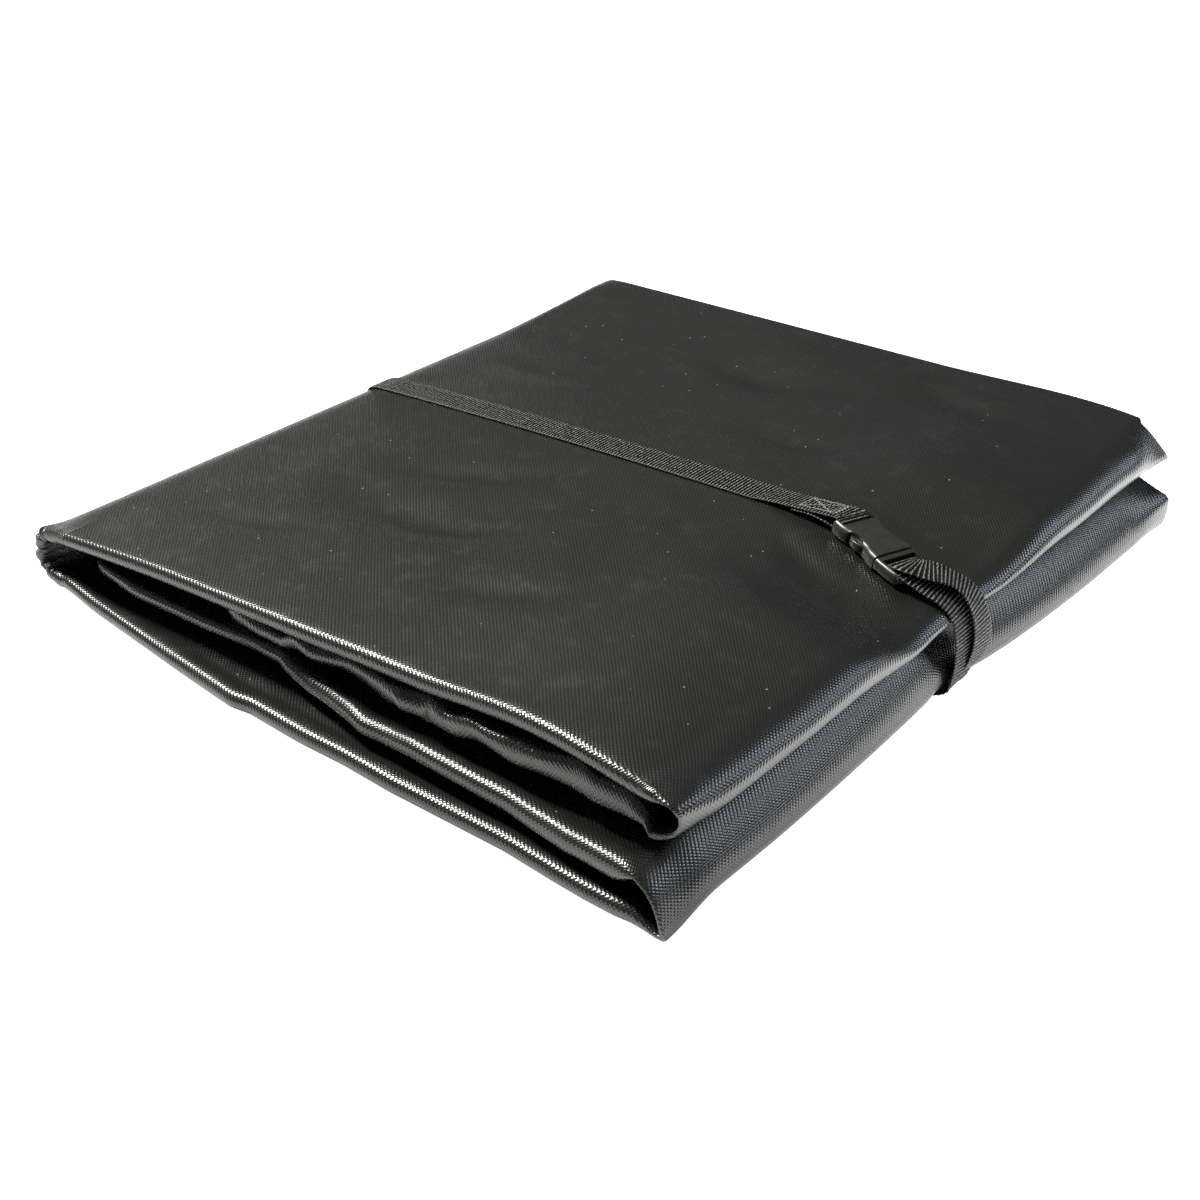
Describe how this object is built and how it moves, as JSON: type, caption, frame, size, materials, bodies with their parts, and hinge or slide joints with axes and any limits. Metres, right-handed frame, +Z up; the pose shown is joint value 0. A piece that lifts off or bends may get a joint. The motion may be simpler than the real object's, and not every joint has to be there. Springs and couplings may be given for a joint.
{
  "type": "folded ground mat",
  "caption": "Large coated-fabric ground mat folded into a flat wedge-shaped pack, held shut by a webbing strap with a side-release buckle.",
  "frame": {"origin": "middle of the pack's underside, at the centre of its bounding box's base", "axes": "+X from the spine fold to the two front folds, +Y along the spine, +Z up"},
  "size_m": [0.4501, 0.484, 0.0699],
  "materials": {
    "coated_sheet": "black PVC-coated woven polyester, satin with an embossed weave",
    "webbing": "black ribbed polypropylene webbing",
    "thread": "worn dark thread that catches the light",
    "buckle_plastic": "black moulded acetal, slightly glossy"
  },
  "bodies": {
    "lower_half": {"lower_outer_panel": "coated_sheet", "lower_inner_panel": "coated_sheet", "lower_front_fold": "coated_sheet", "spine_fold": "coated_sheet", "strap_spine_wrap": "webbing", "strap_under_run": "webbing"},
    "upper_half": {"upper_outer_panel": "coated_sheet", "upper_inner_panel": "coated_sheet", "upper_front_fold": "coated_sheet", "strap_over_run": "webbing", "strap_sewn_lap": "webbing", "strap_stitching": "thread", "buckle_socket": "buckle_plastic"},
    "buckle_plug": {"buckle_plug": "buckle_plastic", "strap_front_run": "webbing"},
    "prong_near": {"prong_near": "buckle_plastic"},
    "prong_far": {"prong_far": "buckle_plastic"},
    "strap_tail": {"strap_tail": "webbing"}
  },
  "joints": [
    {"name": "book_open", "type": "hinge", "parent": "lower_half", "child": "upper_half", "pos_m": [-0.2233, 0, 0.0201], "axis": [0, -1, 0], "range_deg": [0, 174], "deforming": ["spine_fold", "strap_spine_wrap", "strap_front_run", "strap_tail"]},
    {"name": "plug_pop", "type": "slide", "parent": "upper_half", "child": "buckle_plug", "axis": [0.9427, -0.309, -0.1261], "range_m": [0, 0.002]},
    {"name": "prong_near_squeeze", "type": "hinge", "parent": "buckle_plug", "child": "prong_near", "pos_m": [0.16927, 0.00314, 0.06071], "axis": [-0.1326, 0, -0.9912], "range_deg": [0, 11.1], "stiffness_Nm_per_rad": 0.3},
    {"name": "prong_far_squeeze", "type": "hinge", "parent": "buckle_plug", "child": "prong_far", "pos_m": [0.17417, 0.01835, 0.06005], "axis": [0.1326, 0, 0.9912], "range_deg": [0, 11.1], "stiffness_Nm_per_rad": 0.3},
    {"name": "tail_lift", "type": "hinge", "parent": "buckle_plug", "child": "strap_tail", "pos_m": [0.18101, 0.00784, 0.06237], "axis": [-0.3063, -0.9511, 0.041], "range_deg": [0, 100]}
  ],
  "couplings": [
    {"joint": "prong_near_squeeze", "follows": "plug_pop", "rad_per_m": 95.9},
    {"joint": "prong_far_squeeze", "follows": "plug_pop", "rad_per_m": 95.9}
  ]
}
